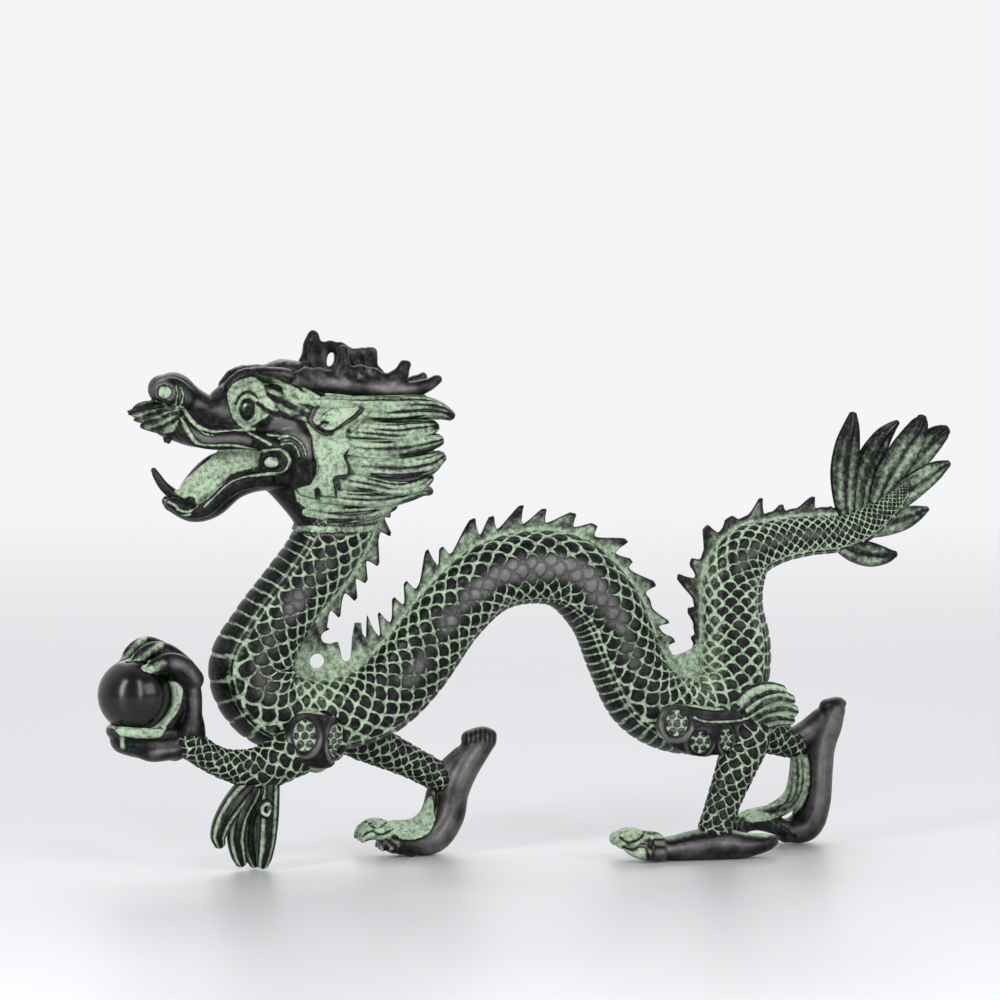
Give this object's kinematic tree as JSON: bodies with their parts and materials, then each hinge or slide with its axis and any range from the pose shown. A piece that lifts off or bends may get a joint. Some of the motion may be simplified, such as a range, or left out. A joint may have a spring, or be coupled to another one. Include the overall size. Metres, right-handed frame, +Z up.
{
  "type": "dragon sculpture",
  "caption": "Cast metal dragon walking with an arched scaly body, open horned and maned head, leaf-shaped tail, and a raised forepaw that holds a smooth ball.",
  "frame": {"origin": "middle of the bounding box's footprint, on the plane that the feet stand on", "axes": "+X from the head towards the tail along the body, +Y across the body away from the raised paw, +Z up"},
  "size_m": [0.4463, 0.0798, 0.2676],
  "materials": {
    "patinated_bronze": "dark brown-black bronze on the raised parts, pale green verdigris in every hollow, satin",
    "dark_polished_bronze": "smooth near-black bronze, glossy"
  },
  "bodies": {
    "root": {"dragon": "patinated_bronze", "ball": "dark_polished_bronze"}
  },
  "joints": []
}
